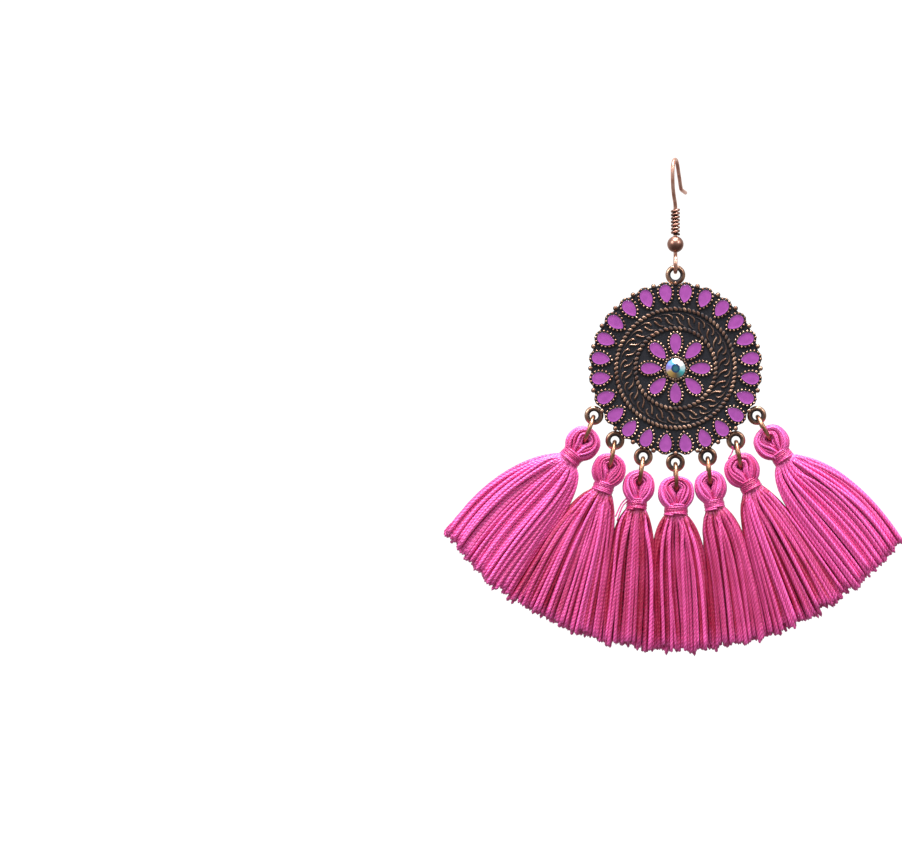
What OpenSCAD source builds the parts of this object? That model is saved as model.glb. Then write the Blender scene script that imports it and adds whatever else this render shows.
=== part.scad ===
// Tassel earring: an ear wire with coil and bead, a cast concho medallion with enamel petals
// and a cut stone, seven jump rings and seven thread tassels.
// Frame: +Z up, the front faces -Y, and the origin is the inside top of the ear wire's crown.

/* [Ear wire] */
// Diameter of the ear wire
wire_d = 0.7; // [0.6:0.05:0.8]
// Bend radius of the crown, at the wire's axis
crown_r = 2.05; // [1.8:0.05:3]
// Turn of the hook's plane from straight back
hook_turn = 15; // [0:1:20]
// Length of the straight front below the crown
front_l = 1.75; // [0.5:0.05:4]
// Bend radius of the bulging front
front_bend_r = 5; // [3:0.1:8]
// Lean of the stem where it leaves the coil
stem_lean = 40; // [20:1:50]
// Straight run between the stem's two bends
stem_run_l = 1; // [0.5:0.1:2]
// Bend radius just above the coil
stem_bend_r = 1.5; // [1:0.1:2.5]
// Lean of the straight tail from vertical
tail_lean = 32; // [15:1:45]
// Length of the straight tail
tail_l = 4.8; // [3:0.1:14]
// Bend radius of the kicked end
kick_r = 0.9; // [0.8:0.1:2]
// Lean of the kicked end from vertical
kick_lean = 82; // [50:1:85]
// Length of the kicked end
kick_l = 3.1; // [1.5:0.1:5]
// Inside diameter of the eye that holds the pendant
eye_id = 2.24; // [2.24:0.02:3]
// Opening left where the eye's end meets the stem
eye_slit = 0.12; // [0.05:0.01:0.2]

/* [Coil and bead] */
// Diameter of the coil's own wire
coil_wire_d = 0.52; // [0.4:0.02:0.6]
// Length of the coil
coil_l = 5; // [3.8:0.1:8]
// Turns of the coil
coil_turns = 7; // [4:1:8]
// Diameter of the round bead
bead_d = 3; // [2:0.1:4]
// Bare stem between the bead and the eye
eye_neck = 0.3; // [0.1:0.05:1]

/* [Medallion] */
// Radius of the cast plate, out to the tips of its scallops
plate_r = 15.8; // [15.6:0.1:18]
// Thickness of the plate
plate_t = 1.5; // [1.2:0.1:2.2]
// Depth of the scallops
scallop = 0.45; // [0.2:0.05:0.6]
// Width of the raised rim round the back
back_rim_w = 1.2; // [0.6:0.1:3]
// Depth of the recess in the back
back_recess = 0.3; // [0.1:0.05:0.5]
// Thickness of the collar round each enamel field
collar_t = 0.22; // [0.15:0.01:0.24]
// Height of the collars above the plate
collar_h = 0.35; // [0.25:0.01:0.6]
// Diameter of the grains that follow each petal
grain_d = 0.46; // [0.3:0.01:0.48]
// Height of the grains
grain_h = 0.24; // [0.15:0.01:0.4]
// Distance between grains along a petal
grain_pitch = 0.68; // [0.62:0.01:1.2]
// Diameter of the balls between the rim petals
rim_ball_d = 0.84; // [0.5:0.01:0.9]

/* [Rim petals] */
// Number of petals round the rim
rim_petals = 24; // [16:1:24]
// Width of a rim petal's enamel
rim_petal_w = 2.16; // [1.4:0.02:2.2]
// Length of a rim petal's enamel
rim_petal_l = 3.25; // [2.6:0.05:3.3]
// Metal left outside a rim petal's enamel
rim_edge_w = 0.5; // [0.4:0.02:0.6]

/* [Flower petals] */
// Number of petals round the centre stone
flower_petals = 8; // [6:1:8]
// Width of a flower petal's enamel
flower_petal_w = 1.86; // [1.2:0.02:2]
// Length of a flower petal's enamel
flower_petal_l = 3.65; // [2.6:0.05:3.7]
// Distance from the bezel to a flower petal's enamel
flower_gap = 0.35; // [0.3:0.01:0.4]

/* [Rings of relief] */
// Distance from the rim petals' points to the middle of the outer rope ring
rim_rope_gap = 1.25; // [1.1:0.05:1.35]
// Strands round the outer rope ring
outer_rope_strands = 80; // [60:1:90]
// Distance from the flower petals' ends to the middle of the inner rope ring
flower_rope_gap = 1.025; // [0.975:0.005:1.125]
// Strands round the inner rope ring
inner_rope_strands = 52; // [40:1:60]
// Width of a rope ring
rope_w = 0.95; // [0.7:0.01:1]
// Slant of a rope strand from the radius
rope_slant = 38; // [20:1:45]
// Repeats round the chain ring
chain_repeats = 28; // [20:1:28]
// Width of a chain stroke
chain_stroke_w = 0.36; // [0.25:0.01:0.4]

/* [Stone] */
// Diameter of the centre stone
stone_d = 3.57; // [2.6:0.01:3.7]
// Diameter of the stone's table
table_d = 1.6; // [1.2:0.01:1.8]
// Height of the stone's crown above its girdle
crown_h = 0.65; // [0.3:0.01:0.9]
// Thickness of the bezel round the stone
bezel_t = 0.46; // [0.4:0.01:0.5]
// Height of the bezel
bezel_h = 0.35; // [0.25:0.01:0.5]
// Strands round the bezel
bezel_strands = 26; // [18:1:30]

/* [Bail and loops] */
// Hole of the bail at the medallion's top
bail_id = 1.76; // [1.76:0.02:2]
// Thickness of the bail's ring
bail_t = 0.94; // [0.7:0.02:0.98]
// How far the bail's ring reaches into the plate
bail_bite = 0.62; // [0.5:0.01:0.65]
// Hole of the loops that hold the jump rings
loop_id = 1.56; // [1.4:0.02:1.7]
// Thickness of a loop's ring
loop_t = 0.97; // [0.7:0.02:1]
// How far a loop's ring reaches into the plate
loop_bite = 0.46; // [0.4:0.01:0.5]
// Angle between neighbouring loops
loop_step = 20; // [19:0.5:21]

/* [Jump rings] */
// Inside diameter of a jump ring
ring_id = 4; // [3.9:0.1:4.4]
// Diameter of a jump ring's wire
ring_wire_d = 0.8; // [0.6:0.05:0.9]
// Width of the slit where a ring's ends meet
ring_slit = 0.06; // [0.03:0.01:0.2]

/* [Tassels] */
// Width of a tassel's head
head_w = 6; // [5.4:0.1:6.2]
// Depth of the looped bundle in the head
head_depth = 2.7; // [2.2:0.1:2.8]
// Thickness of the looped bundle over the ring
bundle_t = 2.1; // [1.6:0.05:2.3]
// Distance from the jump ring's wire down to the middle of the binding
neck_drop = 3.6; // [3.3:0.1:4.5]
// Diameter of the bound neck
neck_d = 3.5; // [3.2:0.1:4.2]
// Diameter of the binding's thread
bind_thread_d = 0.34; // [0.25:0.01:0.4]
// Turns of the binding's thread
bind_turns = 5; // [3:1:6]
// Radius from the medallion's centre to the fringe's tips
fringe_r = 51.3; // [44:0.1:60]
// Depth of a skirt from front to back
skirt_depth = 4.4; // [3:0.1:5]
// Width of one lock at the tips
lock_w = 2.3; // [2:0.1:3]
// How far the shortest locks end above the longest
lock_uneven = 0.9; // [0:0.1:2]
// Length of the flare just below the binding
flare_l = 5; // [3:0.1:6]
// Space between neighbouring skirts
skirt_gap = 0.55; // [0.2:0.05:0.8]

/* [Clearances] */
// Clearance round the wire in the coil, the bead and the eye
wire_clear = 0.05; // [0.03:0.01:0.08]
// Clearance round the enamel and the stone
inlay_clear = 0.03; // [0.02:0.01:0.05]
// Clearance between a jump ring and what it hangs in
ring_clear = 0.12; // [0.08:0.01:0.15]

/* [Hidden] */
$fn = 48;
TASSELS = 7;

// How far a wire's straights run into its bends, and how much thicker the bends are
wire_lap = 0.05;
bend_swell = 1.01;

// Heights along the ear wire, from the crown down
stem_top = wire_d / 2 - crown_r - front_l
    - (front_bend_r + stem_bend_r) * sin(stem_lean) - stem_run_l * cos(stem_lean);
coil_top = stem_top - wire_d / 4;
bead_z = coil_top - coil_l - wire_clear - bead_d / 2;
eye_r = (eye_id + wire_d) / 2;
eye_top = bead_z - bead_d / 2 - eye_neck - wire_d / 2;
eye_z = eye_top - eye_r;
eye_bottom = eye_z - eye_r;

// The bail's hole rests on the wire's eye, and the medallion hangs below
bail_r = (bail_id + bail_t) / 2;
bail_z = eye_bottom + wire_d / 2 + wire_clear - bail_id / 2;
bail_arm = plate_r - bail_bite + bail_t / 2 + bail_r;
medallion_z = bail_z - bail_arm;

// Front surface of the plate, in the medallion's own frame where +Z faces the viewer
face_z = plate_t / 2;
rim_petal_out = plate_r - rim_edge_w;
rim_petal_in = rim_petal_out - rim_petal_l;
bezel_in_r = stone_d / 2 + inlay_clear;
bezel_out_r = bezel_in_r + bezel_t;
flower_petal_in = bezel_out_r + flower_gap;
flower_petal_out = flower_petal_in + flower_petal_l;
outer_rope_r = rim_petal_in - rim_rope_gap;
inner_rope_r = flower_petal_out + flower_rope_gap;
chain_ring_r = (outer_rope_r + inner_rope_r) / 2;

// How far the relief is sunk into the plate, so that it is one casting with it
sink = 0.12;
// Width of a petal's pointed part where its round end starts, as a share of its width
petal_waist = 0.96;
// How far a petal's point moves when its outline grows by 1
point_grow = 1.6;
// Top of a grain and height of a rim ball, as shares of a grain's diameter and height
grain_top = 0.5;
rim_ball_rise = 1.4;
// Place of a rim ball's centre, as a share of the scallops' depth from the plate's edge
rim_ball_in = 0.66;
// Thickness of a rope's strand, as a share of the room that it has
strand_fill = 0.86;
// Width of the rope on the bezel, as a share of the bezel's thickness
bezel_rope_w = 0.8;

// Loops and jump rings
loop_ring_r = (loop_id + loop_t) / 2;
loop_arm = plate_r - loop_bite + loop_t / 2 + loop_ring_r;
ring_r = (ring_id + ring_wire_d) / 2;

// Strokes in each repeat of the chain ring: the centre of the bend along the ring and outwards
// from its middle, the bend's radius, and where it starts and how far it sweeps. Lengths are
// shares of one repeat.
ALONG = 0;
OUT = 1;
BEND = 2;
START = 3;
SWEEP = 4;
chain_strokes = [
    [-0.08, -0.14, 0.27, 80, 190],
    [0.36, 0.16, 0.25, -70, 190]
];

// Neck of a tassel: the binding's height, the width over which the locks' middles are gathered,
// a lock's half width as a share of its room, its depth as a share of the neck's, and how far
// a lock reaches up inside the binding, with the step between neighbours
bind_h = bind_turns * bind_thread_d;
gather_w = 0.8 * neck_d;
neck_lap = 1.24;
neck_fill = 0.93;
lock_root = 0.28;
lock_root_step = 0.09;

// Each tassel: the tilt of its jump ring and the lean of its head, both positive to the right,
// and how far its outermost threads flare at the left and the right
TILT = 0;
LEAN = 1;
FLARE_LEFT = 2;
FLARE_RIGHT = 3;
tassel_table = [
    [-20, -41, 46, 61],
    [-11, -18, 47, 33],
    [-9, -6, 37, 31],
    [2, -1, 41, 45],
    [5, 12, 26, 39],
    [10, 28, 45, 28],
    [28, 36, 52, 45]
];

// Each edge between skirts, from left to right: its angle at the tips, and the angle that it
// bows through on the way, both from straight down about the medallion's centre
TIP = 0;
BOW = 1;
edge_table = [
    [-54.5, -61],
    [-36, -37.5],
    [-15.7, -18.5],
    [-4.7, -5.6],
    [7.5, 9],
    [18.9, 21.5],
    [37.7, 38.2],
    [53, 60]
];
// Radius at which an edge bows, as a share of the fringe's radius
bow_share = 0.76;

function down(a) = [sin(a), -cos(a)];
function across(a) = [cos(a), sin(a)];
function mix(a, b, s) = a + (b - a) * s;

// Places in the medallion's plane, as [x, z] from its centre
function loop_angle(k) = (k - (TASSELS - 1) / 2) * loop_step;
function loop_at(k) = loop_arm * down(loop_angle(k));
function ring_top_at(k) =
    loop_at(k) + (loop_id / 2 - ring_wire_d / 2 - ring_clear) * down(tassel_table[k][TILT]);
function ring_centre_at(k) = ring_top_at(k) + ring_r * down(tassel_table[k][TILT]);
function head_at(k) = ring_top_at(k) + 2 * ring_r * down(tassel_table[k][TILT]);
function neck_at(k) = head_at(k) + neck_drop * down(tassel_table[k][LEAN]);

// Puts a piece at a place in the medallion's plane.
module at_pendant(p) {
    translate([p[X], 0, medallion_z + p[Z]]) children();
}

// A round wire laid from [length, 0] straights and [radius, turn] bends in turn. It starts along
// +Z, a positive turn bends it towards +X, and the straights run a little into the bends.
module wire_run(steps, d, i = 0) {
    if (i < len(steps)) {
        size = steps[i][0];
        turn = steps[i][1];
        if (turn == 0) {
            lap_before = i > 0 ? wire_lap : 0;
            lap_after = i < len(steps) - 1 ? wire_lap : 0;
            translate([0, 0, -lap_before]) cylinder(d = d, h = lap_before + size + lap_after);
            translate([0, 0, size]) wire_run(steps, d, i + 1);
        } else {
            side = sign(turn);
            translate([side * size, 0, 0]) rotate([90, 0, 0]) rotate([0, 0, side > 0 ? 180 - turn : 0])
                rotate_extrude(angle = abs(turn)) translate([size, 0]) circle(d = bend_swell * d);
            translate([side * size * (1 - cos(turn)), 0, size * sin(abs(turn))])
                rotate([0, turn, 0]) wire_run(steps, d, i + 1);
        }
    }
}

module ear_wire() {
    shank_l = stem_top - eye_top;
    slit_angle = 2 * asin(eye_slit / 2 / eye_r);
    start_angle = asin(wire_d / 2 / eye_r);
    eye_wire_d = bend_swell * bend_swell * wire_d;
    color("peru") {
        translate([0, 0, eye_top]) rotate([0, 0, 90 - hook_turn])
            wire_run([
                [shank_l, 0],
                [stem_bend_r, -stem_lean],
                [stem_run_l, 0],
                [front_bend_r, stem_lean],
                [front_l, 0],
                [crown_r, 180 - tail_lean],
                [tail_l, 0],
                [kick_r, tail_lean - kick_lean],
                [kick_l, 0]
            ], wire_d);
        translate([0, 0, eye_z]) rotate([90, 0, 90]) rotate([0, 0, 90 - start_angle])
            rotate_extrude(angle = 360 - slit_angle) translate([eye_r, 0]) circle(d = eye_wire_d);
    }
}

// A closed skin over rings of equal length, each a list of points, with flat ends.
module skin(rings) {
    n = len(rings[0]);
    m = len(rings);
    polyhedron(
        points = [for (ring = rings) each ring],
        faces = concat(
            [[for (i = [0:n - 1]) i]],
            [for (r = [0:m - 2]) for (i = [0:n - 1])
                let (a = r * n + i, b = r * n + (i + 1) % n)
                each [[a, a + n, b + n], [a, b + n, b]]],
            [[for (i = [n - 1:-1:0]) (m - 1) * n + i]]
        )
    );
}

module hook_coil() {
    wind_r = wire_d / 2 + wire_clear + coil_wire_d / 2;
    rise = (coil_l - coil_wire_d) / coil_turns;
    per_turn = 14;
    sides = 6;
    color("peru")
        translate([0, 0, coil_top - coil_l + coil_wire_d / 2])
            skin([for (i = [0:coil_turns * per_turn])
                let (a = i * 360 / per_turn)
                [for (s = [0:sides - 1])
                    let (q = -s * 360 / sides, r = wind_r + coil_wire_d / 2 * cos(q))
                    [r * cos(a), r * sin(a), rise * a / 360 + coil_wire_d / 2 * sin(q)]]]);
}

module hook_bead() {
    color("peru")
        translate([0, 0, bead_z])
            difference() {
                sphere(d = bead_d);
                cylinder(d = wire_d + 2 * wire_clear, h = 2 * bead_d, center = true);
            }
}

// Outline of a petal along +Y: a round outer end and a point towards the centre.
module petal_outline(inner, outer, w, grow = 0) {
    round_r = w / 2 + grow;
    round_y = outer - w / 2;
    translate([0, round_y]) circle(round_r);
    waist = petal_waist * round_r;
    polygon([[0, inner - point_grow * grow], [waist, round_y], [-waist, round_y]]);
}

// Evenly spaced places that follow a petal's outline at a distance.
function grain_path(inner, outer, w, off) =
    let (
        r = w / 2 + off,
        cy = outer - w / 2,
        point_y = inner - point_grow * off,
        side = norm([r, cy - point_y]),
        total = PI * r + 2 * side,
        n = 2 * round(total / grain_pitch / 2),
        step = total / n
    )
    [for (i = [0:n - 1])
        let (s = i * step)
        s < side ? [r * s / side, mix(point_y, cy, s / side)]
        : s < side + PI * r ? let (a = (s - side) / r * 180 / PI) [r * cos(a), cy + r * sin(a)]
        : let (q = (s - side - PI * r) / side) [-r * (1 - q), mix(cy, point_y, q)]];

module grain(d, h) {
    translate([0, 0, face_z - sink]) cylinder(d1 = 1.05 * d, d2 = grain_top * d, h = h + sink);
}

module petal_grains(inner, outer, w) {
    for (p = grain_path(inner, outer, w, collar_t + grain_d / 2 + inlay_clear))
        translate([p.x, p.y, 0]) grain(grain_d, grain_h);
}

module petal_collar(inner, outer, w) {
    translate([0, 0, face_z - sink])
        linear_extrude(collar_h + sink)
            difference() {
                petal_outline(inner, outer, w, collar_t);
                petal_outline(inner, outer, w);
            }
}

// A ring of slanted strands, each a round bar that lies half sunk in the surface below it.
module rope_ring(mid_r, w, strands, z) {
    strand_d = strand_fill * 2 * PI * mid_r / strands * cos(rope_slant);
    strand_l = w / cos(rope_slant) - strand_d / 2;
    for (i = [0:strands - 1])
        rotate(i * 360 / strands)
            translate([0, mid_r, z]) rotate([0, 0, 90 + rope_slant]) rotate([0, 90, 0])
                cylinder(d = strand_d, h = strand_l, center = true);
}

// One C-shaped stroke of the chain ring, with sloping sides.
module chain_stroke(bend_r, start, sweep) {
    half = chain_stroke_w / 2;
    translate([0, 0, face_z])
        rotate([0, 0, start]) rotate_extrude(angle = sweep)
            polygon([
                [bend_r - half, -sink],
                [bend_r + half, -sink],
                [bend_r + 0.5 * half, collar_h],
                [bend_r - 0.5 * half, collar_h]
            ]);
}

module chain_ring() {
    repeat_l = 2 * PI * chain_ring_r / chain_repeats;
    for (i = [0:chain_repeats - 1])
        rotate(i * 360 / chain_repeats)
            for (row = chain_strokes)
                translate([row[ALONG] * repeat_l, chain_ring_r + row[OUT] * repeat_l, 0])
                    chain_stroke(row[BEND] * repeat_l, row[START], row[SWEEP]);
}

// A ring in the plate's plane, like a bail or a loop, with a short root that joins it to the
// plate, both along +Y at an arm from the plate's centre.
module edge_ring(arm, inner_d, t) {
    root_start = plate_r - scallop - t;
    root_end = arm - (inner_d + t) / 2;
    translate([0, arm, 0]) rotate_extrude() translate([(inner_d + t) / 2, 0]) circle(d = t);
    translate([0, root_start, 0]) rotate([-90, 0, 0]) cylinder(d = 0.9 * t, h = root_end - root_start);
}

module medallion_plate() {
    difference() {
        translate([0, 0, -plate_t / 2])
            linear_extrude(plate_t) {
                circle(plate_r - scallop);
                for (i = [0:rim_petals - 1])
                    rotate((i + 0.5) * 360 / rim_petals)
                        translate([0, rim_petal_out - rim_petal_w / 2])
                            circle(plate_r - rim_petal_out + rim_petal_w / 2);
            }
        translate([0, 0, -plate_t])
            cylinder(r = plate_r - scallop - back_rim_w, h = plate_t / 2 + back_recess);
    }
}

module medallion() {
    color("dimgray")
        at_pendant([0, 0]) rotate([90, 0, 0])
            union() {
                medallion_plate();
                for (i = [0:rim_petals - 1])
                    rotate((i + 0.5) * 360 / rim_petals) {
                        petal_collar(rim_petal_in, rim_petal_out, rim_petal_w);
                        petal_grains(rim_petal_in, rim_petal_out, rim_petal_w);
                    }
                for (i = [0:flower_petals - 1])
                    rotate(i * 360 / flower_petals) {
                        petal_collar(flower_petal_in, flower_petal_out, flower_petal_w);
                        petal_grains(flower_petal_in, flower_petal_out, flower_petal_w);
                    }
                for (i = [0:rim_petals - 1])
                    rotate(i * 360 / rim_petals)
                        translate([0, plate_r - scallop * rim_ball_in, 0])
                            grain(rim_ball_d, rim_ball_rise * grain_h);
                rope_ring(outer_rope_r, rope_w, outer_rope_strands, face_z);
                rope_ring(inner_rope_r, rope_w, inner_rope_strands, face_z);
                chain_ring();
                translate([0, 0, face_z - sink])
                    difference() {
                        cylinder(r = bezel_out_r, h = bezel_h + sink);
                        cylinder(r = bezel_in_r, h = 3 * bezel_h);
                    }
                rope_ring((bezel_in_r + bezel_out_r) / 2, bezel_rope_w * bezel_t, bezel_strands,
                    face_z + bezel_h);
                edge_ring(bail_arm, bail_id, bail_t);
                for (k = [0:TASSELS - 1])
                    rotate(180 + loop_angle(k)) edge_ring(loop_arm, loop_id, loop_t);
            }
}

module enamel_fields(count, inner, outer, w, first) {
    for (i = [0:count - 1])
        rotate((i + first) * 360 / count)
            translate([0, 0, face_z + inlay_clear])
                linear_extrude(collar_h) petal_outline(inner, outer, w, -inlay_clear);
}

module enamel_rim() {
    color("mediumorchid")
        at_pendant([0, 0]) rotate([90, 0, 0])
            enamel_fields(rim_petals, rim_petal_in, rim_petal_out, rim_petal_w, 0.5);
}

module enamel_flower() {
    color("mediumorchid")
        at_pendant([0, 0]) rotate([90, 0, 0])
            enamel_fields(flower_petals, flower_petal_in, flower_petal_out, flower_petal_w, 0);
}

// A cut stone with a flat back, sixteen sides, a table, eight kites and eight stars.
module centre_stone() {
    mains = 8;
    girdle_r = stone_d / 2;
    table_r = table_d / 2;
    star_r = mix(table_r, girdle_r, 0.45);
    star_h = crown_h * (girdle_r - star_r * cos(180 / mains)) / (girdle_r - table_r);
    function ring(n, r, z, first = 0) =
        [for (i = [0:n - 1]) [r * cos((i + first) * 360 / n), r * sin((i + first) * 360 / n), z]];
    table_at = 4 * mains;
    star_at = 5 * mains;
    color("skyblue")
        at_pendant([0, 0]) rotate([90, 0, 0]) translate([0, 0, face_z + inlay_clear])
            polyhedron(
                points = concat(
                    ring(2 * mains, 0.85 * girdle_r, 0),
                    ring(2 * mains, girdle_r, bezel_h),
                    ring(mains, table_r, bezel_h + crown_h),
                    ring(mains, star_r, bezel_h + star_h, 0.5)
                ),
                faces = concat(
                    [[for (i = [0:2 * mains - 1]) i]],
                    [for (i = [0:2 * mains - 1])
                        let (j = (i + 1) % (2 * mains))
                        [i, i + 2 * mains, j + 2 * mains, j]],
                    [for (i = [0:mains - 1])
                        let (j = (i + 1) % mains, p = (i + mains - 1) % mains, g = 2 * mains + 2 * i)
                        each [
                            [star_at + i, table_at + i, table_at + j],
                            [g, star_at + p, table_at + i, star_at + i],
                            [g, star_at + i, g + 1],
                            [g + 1, star_at + i, 2 * mains + 2 * j]
                        ]],
                    [[for (i = [mains - 1:-1:0]) table_at + i]]
                )
            );
}

module jump_ring(k) {
    slit_angle = 2 * asin(ring_slit / 2 / ring_r);
    color("darkgoldenrod")
        at_pendant(ring_centre_at(k)) rotate([0, -tassel_table[k][TILT], 0]) rotate([0, 90, 0])
            rotate([0, 0, 140])
                rotate_extrude(angle = 360 - slit_angle) translate([ring_r, 0]) circle(d = ring_wire_d);
}

// The looped bundle of a tassel's head, hung over the jump ring's wire at the origin.
// Its path starts at the binding, below the wire on the left, and goes up to the wire: X and Z
// are shares of the head's half width, and THICK is a share of the bundle's thickness.
X = 0;
Z = 1;
THICK = 2;
head_path = [
    [-0.27, -1.12, 0.74],
    [-0.29, -0.88, 0.76],
    [-0.39, -0.62, 1.06],
    [-0.51, -0.34, 1.28],
    [-0.59, 0, 1.12],
    [-0.49, 0.32, 1.06]
];

module head_bundle() {
    half_w = head_w / 2;
    sides = 8;
    top_z = ring_wire_d / 2 + ring_clear + bundle_t / 2;
    left = [for (p = head_path) [p[X] * half_w, p[Z] * half_w, p[THICK]]];
    right = [for (i = [len(left) - 1:-1:0]) [-left[i][X], left[i][Z], left[i][THICK]]];
    path = concat(left, [[0, top_z, 1]], right);
    last = len(path) - 1;
    skin([for (i = [0:last])
        let (
            p = path[i],
            ahead = path[min(i + 1, last)] - path[max(i - 1, 0)],
            way = [-ahead[Z], ahead[X]] / norm([ahead[X], ahead[Z]])
        )
        [for (c = [0:sides - 1])
            let (q = -(c + 0.5) * 360 / sides, x = p[THICK] * bundle_t / 2 * cos(q))
            [p[X] + x * way[X], head_depth / 2 * sin(q), p[Z] + x * way[Z]]]]);
}

// A point on a skirt's thread, [x, z] from the medallion's centre: s runs across the skirt from
// left to right, and t runs down from the binding to the tip.
function thread_at(k, s, t, reach) =
    let (
        lean = tassel_table[k][LEAN],
        flare = mix(-tassel_table[k][FLARE_LEFT], tassel_table[k][FLARE_RIGHT], s),
        a = neck_at(k) + (s - 0.5) * gather_w * across(lean) + bind_h / 2 * down(lean),
        b = a + flare_l * down(lean + flare),
        c = bow_share * fringe_r * down(mix(edge_table[k][BOW], edge_table[k + 1][BOW], s)),
        d = reach * down(mix(edge_table[k][TIP], edge_table[k + 1][TIP], s)),
        u = 1 - t
    )
    u * u * u * a + 3 * u * u * t * b + 3 * u * t * t * c + t * t * t * d;

function skirt_w(k) = fringe_r * (edge_table[k + 1][TIP] - edge_table[k][TIP]) * PI / 180 - skirt_gap;
function lock_count(k) = max(4, round(skirt_w(k) / lock_w));

// Sections of a lock below the binding: how far down it is, and its width and depth, as shares
// of the room that the lock has there and of the skirt's depth
AT = 0;
WIDE = 1;
DEEP = 2;
lock_sections = [
    [0.1, 1.16, 0.98],
    [0.25, 1.18, 0.96],
    [0.45, 1.14, 0.98],
    [0.7, 1.1, 1],
    [0.94, 0.98, 0.88],
    [1, 0.5, 0.5]
];

module lock(k, j) {
    n = lock_count(k);
    lean = tassel_table[k][LEAN];
    reach = fringe_r - lock_uneven * (0.5 + 0.5 * sin(137 * j + 71 * k));
    neck_x = ((j + 0.5) / n - 0.5) * gather_w;
    neck_half_w = neck_lap * gather_w / n / 2;
    neck_half_depth = neck_fill * sqrt(neck_d * neck_d / 4 - neck_x * neck_x);
    corners = 6;
    function section(p, way, w, depth) =
        [for (i = [0:corners - 1])
            let (q = -(i + 0.5) * 360 / corners, x = w * cos(q) / cos(180 / corners))
            [p[X] + x * way[X], depth * sin(q), p[Z] + x * way[Z]]];
    neck_rings = [for (up = [(lock_root + lock_root_step * (j % 3)) * bind_h, -bind_h / 2])
        section(neck_at(k) + neck_x * across(lean) - up * down(lean), across(lean),
            neck_half_w, neck_half_depth)];
    skirt_rings = [for (row = lock_sections)
        let (
            t = row[AT],
            room = norm(thread_at(k, 1, t, reach) - thread_at(k, 0, t, reach)),
            half_w = row[WIDE] * max(gather_w, room - skirt_gap) / n / 2,
            inset = (half_w + skirt_gap / 2) / room,
            s = mix(inset, 1 - inset, j / (n - 1)),
            p = thread_at(k, s, t, reach),
            ahead = thread_at(k, s, t + 0.01, reach) - thread_at(k, s, t - 0.01, reach),
            way = [-ahead[1], ahead[0]] / norm(ahead)
        )
        section(p, way, half_w, row[DEEP] * mix(neck_half_depth, skirt_depth / 2, sqrt(t)))];
    skin(concat(neck_rings, skirt_rings));
}

module tassel(k) {
    color("hotpink") {
        at_pendant(head_at(k)) rotate([0, -tassel_table[k][LEAN], 0]) head_bundle();
        at_pendant([0, 0])
            for (j = [0:lock_count(k) - 1])
                lock(k, j);
    }
}

module tassel_wrap(k) {
    wall = 0.4 * bind_thread_d;
    turn_d = 1.04 * bind_thread_d;
    wrap_r = neck_d / 2 + inlay_clear;
    color("palevioletred")
        at_pendant(neck_at(k)) rotate([0, -tassel_table[k][LEAN], 0])
            rotate_extrude()
                difference() {
                    union() {
                        translate([wrap_r, -bind_h / 2]) square([wall, bind_h]);
                        for (i = [0:bind_turns - 1])
                            translate([wrap_r, -bind_h / 2] + bind_thread_d * [0.5, i + 0.5])
                                circle(d = turn_d);
                    }
                    translate([wrap_r - 2 * bind_thread_d, -bind_h])
                        square([2 * bind_thread_d, 2 * bind_h]);
                }
}

ear_wire();
hook_coil();
hook_bead();
medallion();
enamel_rim();
enamel_flower();
centre_stone();
for (k = [0:TASSELS - 1]) {
    jump_ring(k);
    tassel(k);
    tassel_wrap(k);
}
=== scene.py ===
import math
import bpy
import numpy as np
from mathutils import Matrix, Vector


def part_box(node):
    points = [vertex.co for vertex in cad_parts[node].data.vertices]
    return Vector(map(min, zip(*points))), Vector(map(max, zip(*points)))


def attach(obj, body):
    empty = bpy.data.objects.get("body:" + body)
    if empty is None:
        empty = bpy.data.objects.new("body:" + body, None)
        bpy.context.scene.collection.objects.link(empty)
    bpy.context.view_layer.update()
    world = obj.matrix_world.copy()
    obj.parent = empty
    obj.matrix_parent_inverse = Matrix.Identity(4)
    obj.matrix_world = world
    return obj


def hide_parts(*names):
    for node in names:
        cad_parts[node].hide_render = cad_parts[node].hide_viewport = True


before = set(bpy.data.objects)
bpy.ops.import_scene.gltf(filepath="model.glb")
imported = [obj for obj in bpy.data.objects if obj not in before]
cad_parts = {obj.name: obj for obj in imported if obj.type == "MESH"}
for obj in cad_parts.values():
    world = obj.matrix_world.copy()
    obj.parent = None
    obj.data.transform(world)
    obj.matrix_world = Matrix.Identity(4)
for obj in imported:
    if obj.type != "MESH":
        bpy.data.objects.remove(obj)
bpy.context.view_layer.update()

# Every length below is in millimetres, and MM turns it into metres for Blender
MM = 0.001
rng = np.random.default_rng(7)


# Small helpers

def unit(v):
    """Vectors scaled to length 1, along the last axis."""
    return v / np.maximum(np.linalg.norm(v, axis=-1, keepdims=True), 1e-12)


def mix(a, b, s):
    """a at 0, b at 1 and a straight line between."""
    return a + (b - a) * s


def smooth(low, high, x):
    """0 below low, 1 above high and an S-curve between."""
    s = np.clip((x - low) / (high - low), 0, 1)
    return s * s * (3 - 2 * s)


def down(angle):
    """Direction [x, z] that leans by an angle in degrees to the right of straight down."""
    a = math.radians(angle)
    return np.array([math.sin(a), -math.cos(a)])


def across(angle):
    """Direction [x, z] to the right of down(angle)."""
    a = math.radians(angle)
    return np.array([math.cos(a), math.sin(a)])


def node_centre(node):
    """Middle of a node's box."""
    low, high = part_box(node)
    return np.array((low + high) / 2) / MM


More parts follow.
